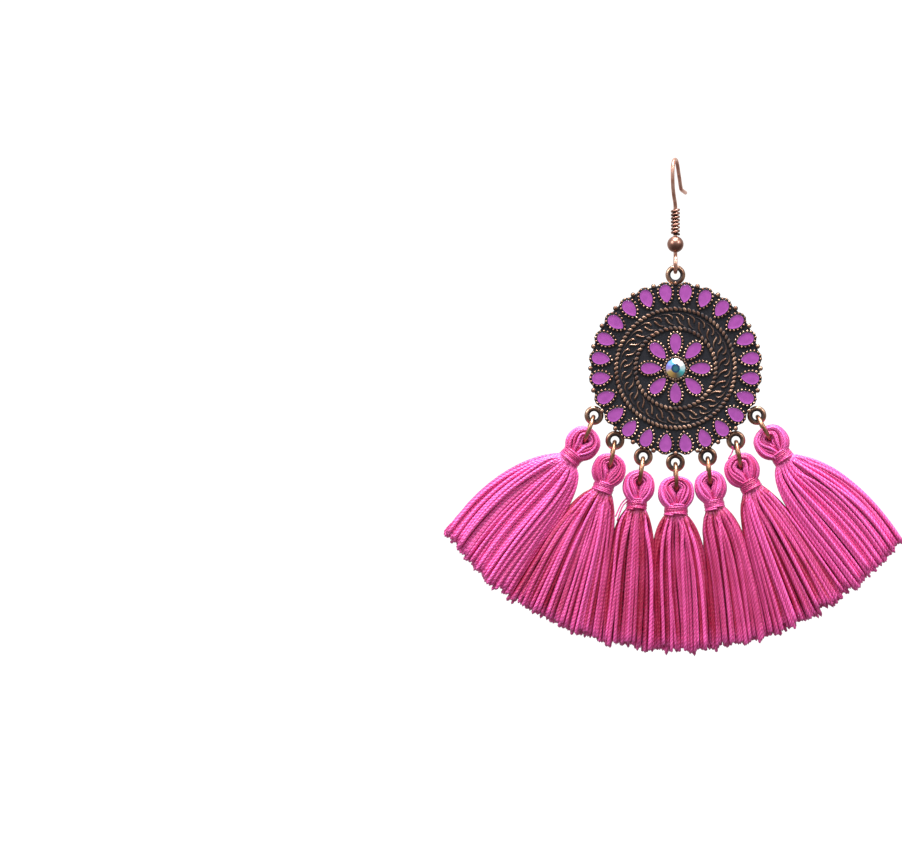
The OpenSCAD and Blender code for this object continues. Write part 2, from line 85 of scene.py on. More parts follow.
class Shape:
    """Grids of points that make one mesh, with a mark and a UV for each point."""

    def __init__(self):
        self.points = []
        self.marks = []
        self.uvs = []
        self.quads = []
        self.seams = []
        self.tris = []
        self.count = 0

    def add(self, points, mark=0.0, uv=None):
        """Adds points and returns the number of the first one."""
        points = np.asarray(points, float).reshape(-1, 3)
        first = self.count
        self.points.append(points)
        self.marks.append(np.broadcast_to(np.asarray(mark, float).reshape(-1), (len(points),)))
        self.uvs.append(np.zeros((len(points), 2)) if uv is None else np.asarray(uv, float).reshape(-1, 2))
        self.count += len(points)
        return first

    def grid(self, rings, mark=0.0, uv=None, start=None, end=None):
        """Skin over closed rings of points, with an optional point that closes each end."""
        rings = np.asarray(rings, float)
        m, n = rings.shape[:2]
        first = self.add(rings, mark, uv)
        a = first + np.arange(m * n).reshape(m, n)
        b = np.roll(a, -1, axis=1)
        quads = np.stack([a[:-1], b[:-1], b[1:], a[1:]], axis=-1)
        seam = np.zeros(quads.shape)
        # Across the seam, from the last point back to the first, the UV goes on past 1
        seam[:, -1, 1:3] = 1.0
        self.quads.append(quads.reshape(-1, 4))
        self.seams.append(seam.reshape(-1, 4))
        marks = self.marks[-1].reshape(m, n)
        uvs = self.uvs[-1].reshape(m, n, 2)
        if start is not None:
            tip = self.add(start, marks[0].mean(), uvs[0].mean(axis=0))
            self.tris.append(np.stack([b[0], a[0], np.full(len(a[0]), tip)], axis=-1))
        if end is not None:
            tip = self.add(end, marks[-1].mean(), uvs[-1].mean(axis=0))
            self.tris.append(np.stack([a[-1], b[-1], np.full(len(a[-1]), tip)], axis=-1))

    def tube(self, path, radii, sides, ref, mark=0.0, flat=1.0, turn=0.0, ends=(0.0, 0.0)):
        """Round tube along a path. ref lies across the path, ends round its two tips, and each
        point's UV is the share round the tube from its first point and the length along it."""
        path = np.asarray(path, float)
        n = len(path)
        ahead = unit(np.gradient(path, axis=0))
        side = unit(np.cross(ahead, np.broadcast_to(ref, ahead.shape)))
        other = np.cross(side, ahead)
        radii = np.broadcast_to(np.asarray(radii, float), (n,))
        angle = turn + np.arange(sides) * 2 * math.pi / sides
        ring = side[:, None] * np.cos(angle)[None, :, None] \
            + flat * other[:, None] * np.sin(angle)[None, :, None]
        rings = path[:, None] + radii[:, None, None] * ring
        length = np.concatenate([[0], np.cumsum(np.linalg.norm(np.diff(path, axis=0), axis=1))])
        share = np.arange(sides) / sides
        uv = np.stack(np.broadcast_arrays(share[None, :], length[:, None]), axis=-1)
        mark = np.asarray(mark, float)
        if mark.ndim == 1 and len(mark) == n:
            mark = np.repeat(mark, sides)
        self.grid(rings, mark, uv, start=path[0] - ends[0] * radii[0] * ahead[0],
                  end=path[-1] + ends[1] * radii[-1] * ahead[-1])

    def make(self, name, material, mark_name="wear", move=None):
        """Makes the object, smooth shaded, with the marks as an attribute."""
        points = np.concatenate(self.points) if move is None else move(np.concatenate(self.points))
        quads = np.concatenate(self.quads)
        tris = np.concatenate(self.tris)
        corners = np.concatenate([quads.ravel(), tris.ravel()])
        starts = np.concatenate([np.arange(len(quads)) * 4, len(quads) * 4 + np.arange(len(tris)) * 3])
        mesh = bpy.data.meshes.new(name)
        mesh.vertices.add(len(points))
        mesh.vertices.foreach_set("co", (points * MM).astype(np.float32).ravel())
        mesh.loops.add(len(corners))
        mesh.loops.foreach_set("vertex_index", corners.astype(np.int32))
        mesh.polygons.add(len(starts))
        mesh.polygons.foreach_set("loop_start", starts.astype(np.int32))
        mesh.update(calc_edges=True)
        mesh.polygons.foreach_set("use_smooth", np.ones(len(mesh.polygons), bool))
        attribute = mesh.attributes.new(mark_name, "FLOAT", "POINT")
        attribute.data.foreach_set("value", np.concatenate(self.marks).astype(np.float32))
        layer = mesh.uv_layers.new(name="UVMap")
        corner_uv = np.concatenate(self.uvs)[corners]
        seams = np.concatenate(self.seams).ravel()
        corner_uv[:len(seams), 0] += seams
        layer.data.foreach_set("uv", corner_uv.astype(np.float32).ravel())
        mesh.materials.append(material)
        piece = bpy.data.objects.new(name, mesh)
        bpy.context.scene.collection.objects.link(piece)
        return piece


# Materials

class Nodes:
    """Short calls for building the nodes of a material or a world round its first shader."""

    def __init__(self, owner, shader="Principled BSDF"):
        owner.use_nodes = True
        self.owner = owner
        self.tree = owner.node_tree
        self.shader = self.tree.nodes[shader]

    def set(self, **values):
        """Sets sockets of the shader to constants."""
        for key, value in values.items():
            self.shader.inputs[key.replace("_", " ")].default_value = value

    def node(self, kind, inputs=None, **settings):
        """Adds a node whose inputs are constants or other nodes' sockets."""
        node = self.tree.nodes.new("ShaderNode" + kind)
        for key, value in settings.items():
            setattr(node, key, value)
        for key, value in (inputs or {}).items():
            if isinstance(value, bpy.types.NodeSocket):
                self.tree.links.new(value, node.inputs[key])
            else:
                node.inputs[key].default_value = value
        return node

    def link(self, socket, target):
        """Leads a socket into one of the shader's."""
        self.tree.links.new(socket, self.shader.inputs[target])

    def place(self):
        """Place of a point in the object's own space."""
        return self.node("TexCoord").outputs["Object"]

    def noise(self, scale, detail=3.0, roughness=0.55):
        """Noise over the object's own space, with a scale in waves per millimetre."""
        node = self.node("TexNoise", {"Vector": self.place(), "Scale": scale / MM,
                                      "Detail": detail, "Roughness": roughness})
        return node.outputs["Fac"]

    def mark(self, name):
        """The mark that a Shape gave each of its points."""
        return self.node("Attribute", attribute_name=name).outputs["Fac"]

    def math(self, operation, a, b=None, clamp=False):
        """Result of an operation on one or two values."""
        inputs = {0: a} if b is None else {0: a, 1: b}
        return self.node("Math", inputs, operation=operation, use_clamp=clamp).outputs[0]

    def spread(self, value, low, high, out_low=0.0, out_high=1.0, ends="SMOOTHSTEP"):
        """Maps a range to another, with soft ends or LINEAR ones."""
        node = self.node("MapRange", {"Value": value, "From Min": low, "From Max": high,
                                      "To Min": out_low, "To Max": out_high},
                         interpolation_type=ends)
        return node.outputs["Result"]

    def blend(self, factor, a, b):
        """Mixes two colours. Of the node's sockets, 0 is the factor, and 6 and 7 are the colours."""
        node = self.node("Mix", data_type="RGBA")
        for slot, value in ((0, factor), (6, a), (7, b)):
            if isinstance(value, bpy.types.NodeSocket):
                self.tree.links.new(value, node.inputs[slot])
            elif slot == 0:
                node.inputs[slot].default_value = value
            else:
                node.inputs[slot].default_value = (*value, 1.0)
        return node.outputs[2]

    def bump(self, height, distance, strength=1.0):
        """Bump whose height of 1 stands a distance in millimetres."""
        node = self.node("Bump", {"Height": height, "Distance": distance * MM, "Strength": strength})
        self.tree.links.new(node.outputs["Normal"], self.shader.inputs["Normal"])


def srgb(r, g, b):
    """Linear colour from a colour as it is seen, 0 to 255."""
    def linear(c):
        c = c / 255
        return c / 12.92 if c <= 0.04045 else ((c + 0.055) / 1.055) ** 2.4
    return (linear(r), linear(g), linear(b))


def cast_metal():
    """Antique copper: bright copper where the wear mark is high, dark patina below."""
    m = Nodes(bpy.data.materials.new("antique_copper_casting"))
    blotches = m.noise(0.45, 4.0)
    fine = m.noise(5.0, 3.0, 0.6)
    rub = m.math("ADD", m.mark("wear"), m.math("MULTIPLY", m.math("SUBTRACT", blotches, 0.5), 0.45))
    rub = m.math("ADD", rub, m.math("MULTIPLY", m.math("SUBTRACT", fine, 0.5), 0.35))
    amount = m.spread(rub, 0.42, 1.1)
    dark = m.blend(m.spread(fine, 0.35, 0.7), srgb(19, 21, 28), srgb(37, 36, 43))
    copper = m.blend(m.spread(blotches, 0.35, 0.65), srgb(156, 110, 88), srgb(214, 172, 146))
    brown = m.blend(m.spread(rub, 0.2, 0.65), dark, srgb(68, 51, 46))
    m.link(m.blend(amount, brown, copper), "Base Color")
    m.link(m.spread(rub, 0.3, 0.8), "Metallic")
    m.link(m.spread(rub, 0.2, 1.0, 0.55, 0.3), "Roughness")
    m.set(Specular_IOR_Level=0.3)
    m.bump(m.math("ADD", fine, m.noise(14.0, 2.0)), 0.02, 0.6)
    return m.owner


def wire_metal(name, low, high, darkest, rough):
    """Plated wire: soft darker blotches in the plating and fine dark specks."""
    m = Nodes(bpy.data.materials.new(name))
    blotches = m.noise(0.6, 5.0)
    fine = m.noise(9.0, 2.0)
    colour = m.blend(m.spread(blotches, 0.3, 0.7), low, high)
    m.link(m.blend(m.spread(fine, 0.62, 0.8), colour, darkest), "Base Color")
    m.set(Metallic=1.0)
    m.link(m.spread(fine, 0.2, 0.8, rough, rough + 0.16), "Roughness")
    m.bump(fine, 0.006, 0.5)
    return m.owner


def glaze():
    """Purple epoxy enamel under a clear gloss."""
    m = Nodes(bpy.data.materials.new("purple_enamel"))
    cloud = m.noise(0.9, 2.0)
    m.link(m.blend(m.spread(cloud, 0.3, 0.7), srgb(150, 64, 150), srgb(160, 72, 158)), "Base Color")
    m.set(Roughness=0.32, Coat_Weight=0.8, Coat_Roughness=0.08, Specular_IOR_Level=0.4)
    m.bump(m.noise(2.2, 2.0), 0.012, 0.4)
    return m.owner


def thread(name, light, deep, ply_pitch, relief):
    """Twisted thread: slanted plies from the UV, with painted shade in the grooves between them and a
    painted highlight on their crests, a tone for each thread and a soft sheen. The pitch is a ply's full
    turn, and the relief how high the plies stand, both in millimetres; the relief also sets how dark the
    painted groove shade is."""
    m = Nodes(bpy.data.materials.new(name))
    uv = m.node("UVMap", uv_map="UVMap").outputs["UV"]
    parts = m.node("SeparateXYZ", {"Vector": uv})
    turns = m.math("ADD", m.math("MULTIPLY", parts.outputs["X"], plies),
                   m.math("MULTIPLY", parts.outputs["Y"], plies / ply_pitch))
    waver = m.math("MULTIPLY", m.noise(1.2, 2.0), 0.5)
    wave = m.math("SINE", m.math("MULTIPLY", m.math("ADD", turns, waver), 2 * math.pi))
    ply = m.math("ADD", m.math("MULTIPLY", wave, 0.5), 0.5)
    fibre = m.noise(7.0, 3.0, 0.7)
    patches = m.math("MULTIPLY", m.math("SUBTRACT", m.noise(0.22, 3.0), 0.5), 0.4)
    tone = m.math("ADD", m.mark("tone"), patches, clamp=True)
    body = m.blend(tone, deep, light)
    strand = m.math("ADD", m.math("MULTIPLY", ply, 0.65), m.math("MULTIPLY", fibre, 0.35))
    # Painted shade: the grooves between the plies are darkened in the base colour, towards a darker copy
    # of the deep colour, more when the relief is higher
    painted_groove_shade = tuple(c * 0.8 for c in deep)
    shaded = m.blend(m.spread(strand, 0.1, 0.6, 1 - 9 * relief, 1.0), painted_groove_shade, body)
    # Painted highlight: the crests of the plies are lightened towards a pale pink in the base colour, more
    # on lighter threads
    painted_crest_highlight = m.math("MULTIPLY", m.spread(strand, 0.62, 0.95, 0.0, 0.5), tone)
    m.link(m.blend(painted_crest_highlight, shaded, srgb(255, 150, 218)), "Base Color")
    m.set(Roughness=0.4, Specular_IOR_Level=0.6, Sheen_Weight=0.25, Sheen_Roughness=0.3)
    m.set(Sheen_Tint=(*srgb(255, 190, 226), 1.0))
    m.bump(m.math("ADD", ply, m.math("MULTIPLY", fibre, 0.6)), relief, 0.8)
    return m.owner


# Plies in each thread
plies = 3.0

casting = cast_metal()
hook_copper = wire_metal("hook_copper", srgb(206, 146, 124), srgb(246, 198, 178),
                         srgb(124, 78, 64), 0.26)
coil_copper = wire_metal("coil_copper", srgb(128, 88, 76), srgb(186, 138, 122), srgb(66, 46, 40), 0.28)
# Painted shade: a dark material for the sleeve that shows between the coil's turns, where the stem lies in
# the coil's shade
painted_coil_shade = wire_metal("coil_painted_shade", srgb(46, 34, 32), srgb(74, 54, 48), srgb(28, 22, 22), 0.45)
ring_brass = wire_metal("ring_brass", srgb(124, 84, 60), srgb(204, 150, 122), srgb(58, 42, 32), 0.28)
enamel = glaze()
skirt_thread = thread("skirt_thread", srgb(254, 93, 181), srgb(154, 4, 56), 2.2, 0.046)
head_thread = thread("head_thread", srgb(240, 98, 182), srgb(186, 30, 96), 1.6, 0.03)
bind_thread = thread("bind_thread", srgb(234, 84, 166), srgb(190, 36, 100), 1.6, 0.03)


# Medallion. Its own frame has x to the right, y up and z towards the viewer from its middle.

medallion_centre = node_centre("enamel_rim")
plate_r = 15.8
plate_t = 1.5
scallop = 0.45
# Steps along the plate's edge for each petal of the rim
edge_steps = 20
back_rim_w = 1.2
back_recess = 0.3
face_z = plate_t / 2
rim_petals = 24
rim_petal = dict(inner=12.05, outer=15.3, width=2.14)
flower_petals = 8
flower_petal = dict(inner=2.62, outer=6.27, width=1.96)
collar_r = 0.13
collar_off = 0.08
collar_rise = 0.16
grain_r = 0.265
grain_out = 0.32
grain_rise = 0.1
grain_pitch = 0.69


def on_medallion(points):
    """Points of the medallion's own frame, moved to their place."""
    return np.stack([points[:, 0] + medallion_centre[0], -points[:, 2],
                     points[:, 1] + medallion_centre[2]], axis=-1)


def turned(points, degrees):
    """Points turned clockwise about z, as seen from the front."""
    a = math.radians(degrees)
    x, y = points[..., 0], points[..., 1]
    out = np.array(points, float)
    out[..., 0] = x * math.cos(a) + y * math.sin(a)
    out[..., 1] = y * math.cos(a) - x * math.sin(a)
    return out


def petal_outline(inner, outer, width, off):
    """Teardrop with its point towards the centre, grown by a distance off."""
    t = np.linspace(0, 2 * math.pi, 48, endpoint=False)
    bulge = np.sin(t) * np.abs(np.sin(t / 2)) ** 0.5
    x = width / 2 * bulge / np.abs(bulge).max()
    y = inner + (outer - inner) * (1 - np.cos(t)) / 2
    line = np.stack([x, y], axis=-1)
    ahead = unit(np.roll(line, -1, axis=0) - np.roll(line, 1, axis=0))
    out = np.stack([ahead[:, 1], -ahead[:, 0]], axis=-1)
    # The point moves towards the centre, a little further, so that it stays sharp
    out[0] = [0, -1.2]
    return line + off * out


def evenly(line, pitch):
    """An odd number of points at equal steps along a closed line, starting at its first point."""
    closed = np.vstack([line, line[:1]])
    length = np.concatenate([[0], np.cumsum(np.linalg.norm(np.diff(closed, axis=0), axis=1))])
    count = max(3, int(round(length[-1] / pitch)))
    if count % 2 == 0:
        count += 1
    at = np.arange(count) * length[-1] / count
    return np.stack([np.interp(at, length, closed[:, i]) for i in range(2)], axis=-1)


# Lumps on the plate go this far round from their top, in radians, and so end below its face
dome_reach = 1.9


def dome(shape, x, y, z, size, heading=0.0, sides=10, steps=6, wear=1.0):
    """Rounded lump of half sizes [along, across, up], its long side turned by a heading."""
    polar = np.linspace(0.0, dome_reach, steps + 1)[1:]
    angle = np.arange(sides) * 2 * math.pi / sides
    along = np.sin(polar)[:, None] * np.cos(angle)[None, :] * size[0]
    side = np.sin(polar)[:, None] * np.sin(angle)[None, :] * size[1]
    up = np.repeat(np.cos(polar)[:, None], sides, axis=1)
    c, s = math.cos(math.radians(heading)), math.sin(math.radians(heading))
    px = x + along * c - side * s
    py = y + along * s + side * c
    pz = z + up * size[2]
    mark = wear * smooth(0.1, 0.95, up)
    rings = np.stack([px, py, pz], axis=-1)[::-1]
    shape.grid(rings, mark[::-1].ravel(), end=[x, y, z + size[2]])


def plate_radius(angle):
    """Radius of the scalloped edge at an angle in degrees."""
    petal_step = 360 / rim_petals
    bump_at = rim_petal["outer"] - rim_petal["width"] / 2
    bump_r = plate_r - bump_at
    off = np.radians((angle + petal_step) % petal_step - petal_step / 2)
    reach = bump_r ** 2 - (bump_at * np.sin(off)) ** 2
    bump = bump_at * np.cos(off) + np.sqrt(np.maximum(reach, 0))
    return np.where(reach > 0, np.maximum(bump, plate_r - scallop), plate_r - scallop)


def add_plate(shape):
    """The scalloped plate, from the middle of its back round the edge to the middle of its face."""
    angle = np.linspace(0, 360, rim_petals * edge_steps, endpoint=False)
    edge = plate_radius(angle)
    inner_back = plate_r - scallop - back_rim_w
    recess_z = -face_z + back_recess
    round_r = 0.16
    # Each row is a radius, a height and a wear mark
    rows = []
    for r in (0.4, 3.0, 6.0, 9.0, 12.0):
        rows.append((r, recess_z, 0.3))
    rows.append((inner_back - 0.1, recess_z, 0.0))
    rows.append((inner_back, recess_z - 0.04, 0.2))
    rows.append((inner_back + 0.12, -face_z + 0.03, 0.75))
    rows.append((inner_back + 0.3, -face_z, 0.45))
    for turn in (0, 30, 60, 90):
        a = math.radians(turn)
        rows.append((edge - round_r * (1 - math.sin(a)), -face_z + round_r * (1 - math.cos(a)), 0.65))
    for turn in (90, 60, 30, 0):
        a = math.radians(turn)
        rows.append((edge - round_r * (1 - math.sin(a)), face_z - round_r * (1 - math.cos(a)),
                     0.35 if turn < 60 else 0.6))
    rows.append((edge - 0.4, face_z, 0.0))
    for r in (14.4, 11.8, 9.8, 8.2, 6.4, 3.0, 0.4):
        rows.append((r, face_z, 0.0))
    rings = []
    marks = []
    a = np.radians(angle)
    for r, z, wear in rows:
        rings.append(np.stack([r * np.sin(a), r * np.cos(a), np.full_like(a, z)], axis=-1))
        marks.append(np.full_like(a, wear))
    shape.grid(np.array(rings)[:, ::-1], np.array(marks).ravel(),
               start=[0, 0, recess_z], end=[0, 0, face_z])


def add_petal_border(shape, petal, degrees):
    """Low collar round an enamel field and the grains that follow it."""
    line = petal_outline(off=collar_off, **petal)
    path = np.column_stack([line, np.full(len(line), face_z + collar_rise)])
    path = turned(np.vstack([path, path[:1]]), degrees)
    shape.tube(path, collar_r, 8, [0, 0, 1], mark=0.12, flat=1.35)
    for x, y in evenly(petal_outline(off=grain_out, **petal), grain_pitch):
        spot = turned(np.array([x, y, 0.0]), degrees)
        size = grain_r * rng.uniform(0.93, 1.06)
        dome(shape, spot[0], spot[1], face_z + grain_rise, [size, size, size * 1.02],
             wear=rng.uniform(0.8, 1.0))


# Half width of a rope's strand, as a share of the strands' pitch
strand_half = 0.41


def add_rope(shape, radius, width, strands, slant, z, height=0.25):
    """Ring of slanted strands, like a twisted wire laid on the plate."""
    pitch = 2 * math.pi * radius / strands
    for i in range(strands):
        degrees = i * 360 / strands + rng.normal(0, 0.12)
        spot = turned(np.array([0, radius, 0.0]), degrees)
        half = width / 2 / math.cos(math.radians(slant)) * rng.uniform(0.96, 1.04)
        dome(shape, spot[0], spot[1], z, [half, pitch * strand_half, height],
             heading=90 + slant - degrees, wear=rng.uniform(0.58, 0.9))


def smooth_rows(rows, at):
    """Curve through rows of values, read at places counted in rows."""
    i = np.clip(at.astype(int), 0, len(rows) - 2)
    f = (at - i)[:, None]
    p0, p1, p2 = rows[np.maximum(i - 1, 0)], rows[i], rows[i + 1]
    p3 = rows[np.minimum(i + 2, len(rows) - 1)]
    return 0.5 * (2 * p1 + (p2 - p0) * f + (2 * p0 - 5 * p1 + 4 * p2 - p3) * f ** 2
                  + (3 * p1 - p0 - 3 * p2 + p3) * f ** 3)


def smooth_line(rows, count):
    """Curve through rows of points, with values spread evenly along it."""
    rows = np.array(rows, float)
    return smooth_rows(rows, np.linspace(0, len(rows) - 1, count))


# Two hooked strokes in each repeat of the chain ring. Each row is a share of the repeat,
# clockwise from the stroke's head, the radius, and the stroke's half width there, of which a share
# shows.
chain_repeats = 28
chain_first = 1.8
stroke_share = 0.82
chain_strokes = [
    [(-0.10, 9.18, 0.10), (0.0, 9.27, 0.2), (0.1, 8.82, 0.21), (0.22, 8.38, 0.19),
     (0.42, 8.07, 0.15), (0.68, 7.9, 0.11), (0.9, 7.86, 0.07)],
    [(-0.44, 9.95, 0.07), (-0.2, 10.0, 0.1), (0.02, 9.95, 0.13), (0.3, 9.78, 0.16),
     (0.5, 9.46, 0.19), (0.57, 9.12, 0.17), (0.5, 8.86, 0.1)],
]


def add_chain(shape):
    """Ring of hooked strokes between the two ropes."""
    step = 360 / chain_repeats
    for i in range(chain_repeats):
        for stroke in chain_strokes:
            line = smooth_line(stroke, 18)
            angle = np.radians(chain_first + (i + line[:, 0]) * step)
            half = stroke_share * np.maximum(line[:, 2], 0.05)
            lift = face_z + 0.02 + 0.55 * half
            path = np.stack([line[:, 1] * np.sin(angle), line[:, 1] * np.cos(angle), lift], axis=-1)
            shape.tube(path, half, 10, [0, 0, 1], mark=mix(0.4, 0.74, smooth(0.07, 0.17, half)),
                       ends=(0.6, 0.6))


def add_edge_ring(shape, arm, hole, thick, degrees):
    """Ring in the plate's plane, worn on its outer side and dark in its hole."""
    sides, segments = 16, 40
    mid = (hole + thick) / 2
    a = np.arange(segments) * 2 * math.pi / segments
    q = np.arange(sides) * 2 * math.pi / sides
    r = mid + thick / 2 * np.cos(q)
    z = thick / 2 * np.sin(q)
    ring = np.stack([r[None, :] * np.sin(a)[:, None], arm + r[None, :] * np.cos(a)[:, None],
                     np.repeat(z[None, :], segments, axis=0)], axis=-1)
    ring = turned(np.concatenate([ring, ring[:1]]), degrees)
    mark = 0.25 + 0.65 * smooth(-0.5, 0.9, np.cos(q - 0.4 * np.sign(np.sin(q))))
    shape.grid(ring[:, ::-1], np.tile(mark[::-1], len(ring)))


bezel_in = 1.815
bezel_out = 2.275
bezel_h = 0.35
bail = dict(arm=17.0, hole=1.76, thick=0.94)
loop = dict(arm=17.09, hole=1.56, thick=0.97)
loop_step = 20
tassel_count = 7
rope_rise = 0.08
outer_rope = dict(radius=10.8, width=0.82, strands=80, slant=45)
inner_rope = dict(radius=7.3, width=0.8, strands=52, slant=45)
bezel_rope = dict(radius=(bezel_in + bezel_out) / 2, width=0.4, strands=26, slant=45)
bezel_rope_h = 0.14
ball = dict(size=[0.45, 0.45, 0.4], sides=14, steps=7, wear=0.9)
ball_in = 0.36
ball_sunk = 0.04


def add_bezel(shape):
    """Wall round the stone, with a rope on it."""
    angle = np.linspace(0, 2 * math.pi, 65)[:-1]
    rows = [(bezel_in, 0.0), (bezel_in, bezel_h), (bezel_in + 0.1, bezel_h + 0.05),
            (bezel_out - 0.1, bezel_h), (bezel_out, bezel_h - 0.12), (bezel_out, -0.05)]
    shape.grid([[[r * math.cos(a), r * math.sin(a), face_z + z] for a in angle] for r, z in rows], 0.45)
    add_rope(shape, z=face_z + bezel_h, height=bezel_rope_h, **bezel_rope)


cast = Shape()
add_plate(cast)
for i in range(rim_petals):
    add_petal_border(cast, rim_petal, (i + 0.5) * 360 / rim_petals)
    spot = turned(np.array([0, plate_r - ball_in, 0.0]), i * 360 / rim_petals)
    dome(cast, spot[0], spot[1], face_z - ball_sunk, **ball)
for i in range(flower_petals):
    add_petal_border(cast, flower_petal, i * 360 / flower_petals)
add_rope(cast, z=face_z + rope_rise, **outer_rope)
add_rope(cast, z=face_z + rope_rise, **inner_rope)
add_chain(cast)
add_bezel(cast)
add_edge_ring(cast, degrees=0, **bail)
for k in range(tassel_count):
    add_edge_ring(cast, degrees=180 - (k - (tassel_count - 1) / 2) * loop_step, **loop)
medallion = cast.make("medallion_cast", casting, move=on_medallion)
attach(medallion, "pendant")
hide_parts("medallion")


# Section of the enamel from its collar inwards: a share of the petal's outline and the height there
field_rows = [(1.0, 0.31), (0.93, 0.27), (0.82, 0.245), (0.6, 0.24), (0.35, 0.245), (0.12, 0.25)]
field_off = 0.02
field_middle = 0.58
field_top = 0.25
field_sunk = 0.05
enamel_table = [
    dict(name="enamel_rim_glaze", node="enamel_rim", petal=rim_petal, count=rim_petals, first=0.5),
    dict(name="enamel_flower_glaze", node="enamel_flower", petal=flower_petal, count=flower_petals,
         first=0.0),
]


def add_field(shape, petal, degrees):
    """Enamel in one petal: flat, and drawn up a little where it wets its collar."""
    middle_y = mix(petal["inner"], petal["outer"], field_middle)
    middle = np.array([0, middle_y])
    outline = petal_outline(off=field_off, **petal)
    rings = []
    for share, height in field_rows:
        line = middle + (outline - middle) * share
        rings.append(np.column_stack([line, np.full(len(line), face_z + height)]))
    base = np.array(rings[0])
    base[:, 2] = face_z - field_sunk
    top_point = turned(np.array([0, middle_y, face_z + field_top]), degrees)
    base_point = turned(np.array([0, middle_y, face_z - field_sunk]), degrees)
    shape.grid(turned(np.array([base] + rings), degrees), start=base_point, end=top_point)


for row in enamel_table:
    fields = Shape()
    for i in range(row["count"]):
        add_field(fields, row["petal"], (i + row["first"]) * 360 / row["count"])
    piece = fields.make(row["name"], enamel, move=on_medallion)
    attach(piece, "pendant")
    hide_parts(row["node"])


# Tassels

# Each tassel: the lean of its head, how far its outermost threads flare at the left and right, the widths
# of its head and its binding, and how light its threads are, from 0 to a little over 1. On the two outer
# tassels that lightness is raised as painted light, for the light from above that they catch as they lean
# out.
tassel_table = [
    dict(lean=-41, flare_left=46, flare_right=61, head_w=5.9, bind_d=4.2, tone_and_painted_light=1.12),
    dict(lean=-18, flare_left=47, flare_right=33, head_w=5.8, bind_d=3.9, tone_and_painted_light=0.4),
    dict(lean=-6, flare_left=37, flare_right=31, head_w=5.5, bind_d=3.8, tone_and_painted_light=0.36),
    dict(lean=-1, flare_left=41, flare_right=45, head_w=6.3, bind_d=4.4, tone_and_painted_light=0.4),
    dict(lean=12, flare_left=26, flare_right=39, head_w=5.5, bind_d=3.8, tone_and_painted_light=0.4),
    dict(lean=28, flare_left=45, flare_right=28, head_w=6.1, bind_d=4.0, tone_and_painted_light=0.4),
    dict(lean=36, flare_left=52, flare_right=45, head_w=6.1, bind_d=4.0, tone_and_painted_light=1.12),
]
# Each edge between skirts, from left to right: its angle at the tips and the angle that it bows
# through on the way, both from straight down about the medallion's middle
edge_table = [
    dict(tip=-54.5, bow=-61),
    dict(tip=-36, bow=-37.5),
    dict(tip=-15.7, bow=-18.5),
    dict(tip=-4.7, bow=-5.6),
    dict(tip=7.5, bow=9),
    dict(tip=18.9, bow=21.5),
    dict(tip=37.7, bow=38.2),
    dict(tip=53, bow=60),
]
bow_share = 0.76
fringe_r = 51.3
skirt_depth = 4.4
neck_drop = 3.6
bind_h = 1.8
bind_turns = 6
flare_l = 5.0
head_depth = 3.1
bundle_t = 2.1
thread_d = 0.58
thread_pitch = 0.9 * thread_d
# Share of the binding's width that the threads fill
neck_share = 0.84
# Gaps between a skirt and its neighbours, and between its threads and its binding's outside
skirt_gap = 0.1
neck_in = 0.48
# Threads start this far up inside the binding and end at most this far past the fringe's radius
tuck = 1.3
longest = 0.7
# How far the outer threads stand out of the skirt's face or lie in it, and how often
proud_steps = [-0.4, -0.16, 0.04, 0.3]
proud_odds = [0.22, 0.34, 0.28, 0.16]
# How far threads cross near the neck and drift further down, how unevenly they are spaced, in
# columns, and how unevenly they are cut
cross_off = 0.5
drift_off = 0.26
column_off = 0.22
cut_off = 0.34
# Neighbours end together, this far past the fringe's radius
clump_reach = (-0.9, 0.1)
# The skirt's section is nearly a rectangle, and an ellipse would have the power 2
section_power = 6

# Middle of each tassel's binding, [x, z] from the medallion's middle
necks = [(node_centre(f"tassel_wrap_{k + 1}") - medallion_centre)[[0, 2]] for k in range(tassel_count)]


def thread_line(k, s, reach, t):
    """One thread's way in the fringe's plane, from the binding to its tip, at shares t."""
    row = tassel_table[k]
    lean = row["lean"]
    flare = mix(-row["flare_left"], row["flare_right"], s)
    a = necks[k] + (s - 0.5) * neck_share * row["bind_d"] * across(lean) + bind_h / 2 * down(lean)
    b = a + flare_l * down(lean + flare)
    c = bow_share * fringe_r * down(mix(edge_table[k]["bow"], edge_table[k + 1]["bow"], s))
    d = reach * down(mix(edge_table[k]["tip"], edge_table[k + 1]["tip"], s))
    t = t[:, None]
    u = 1 - t
    return u ** 3 * a + 3 * u * u * t * b + 3 * u * t * t * c + t ** 3 * d


def in_fringe(points):
    """Points [x, depth, z] about the medallion's middle, moved to their place."""
    return points + np.array([medallion_centre[0], 0, medallion_centre[2]])


def wander(t, s, spread):
    """Sideways way of a thread, which crosses others near the neck and drifts further down, but
    stays inside the skirt's edges."""
    cross = rng.normal(0, cross_off) * np.exp(-(t / 0.3) ** 2) * smooth(0.0, 0.1, t)
    drift = rng.normal(0, drift_off) * np.sin(math.pi * t * rng.uniform(0.5, 1.6) + rng.uniform(0, 6))
    inside = min(s, 1 - s) * spread
    return np.clip((cross + drift) * smooth(0.02, 0.2, t), -inside, inside)


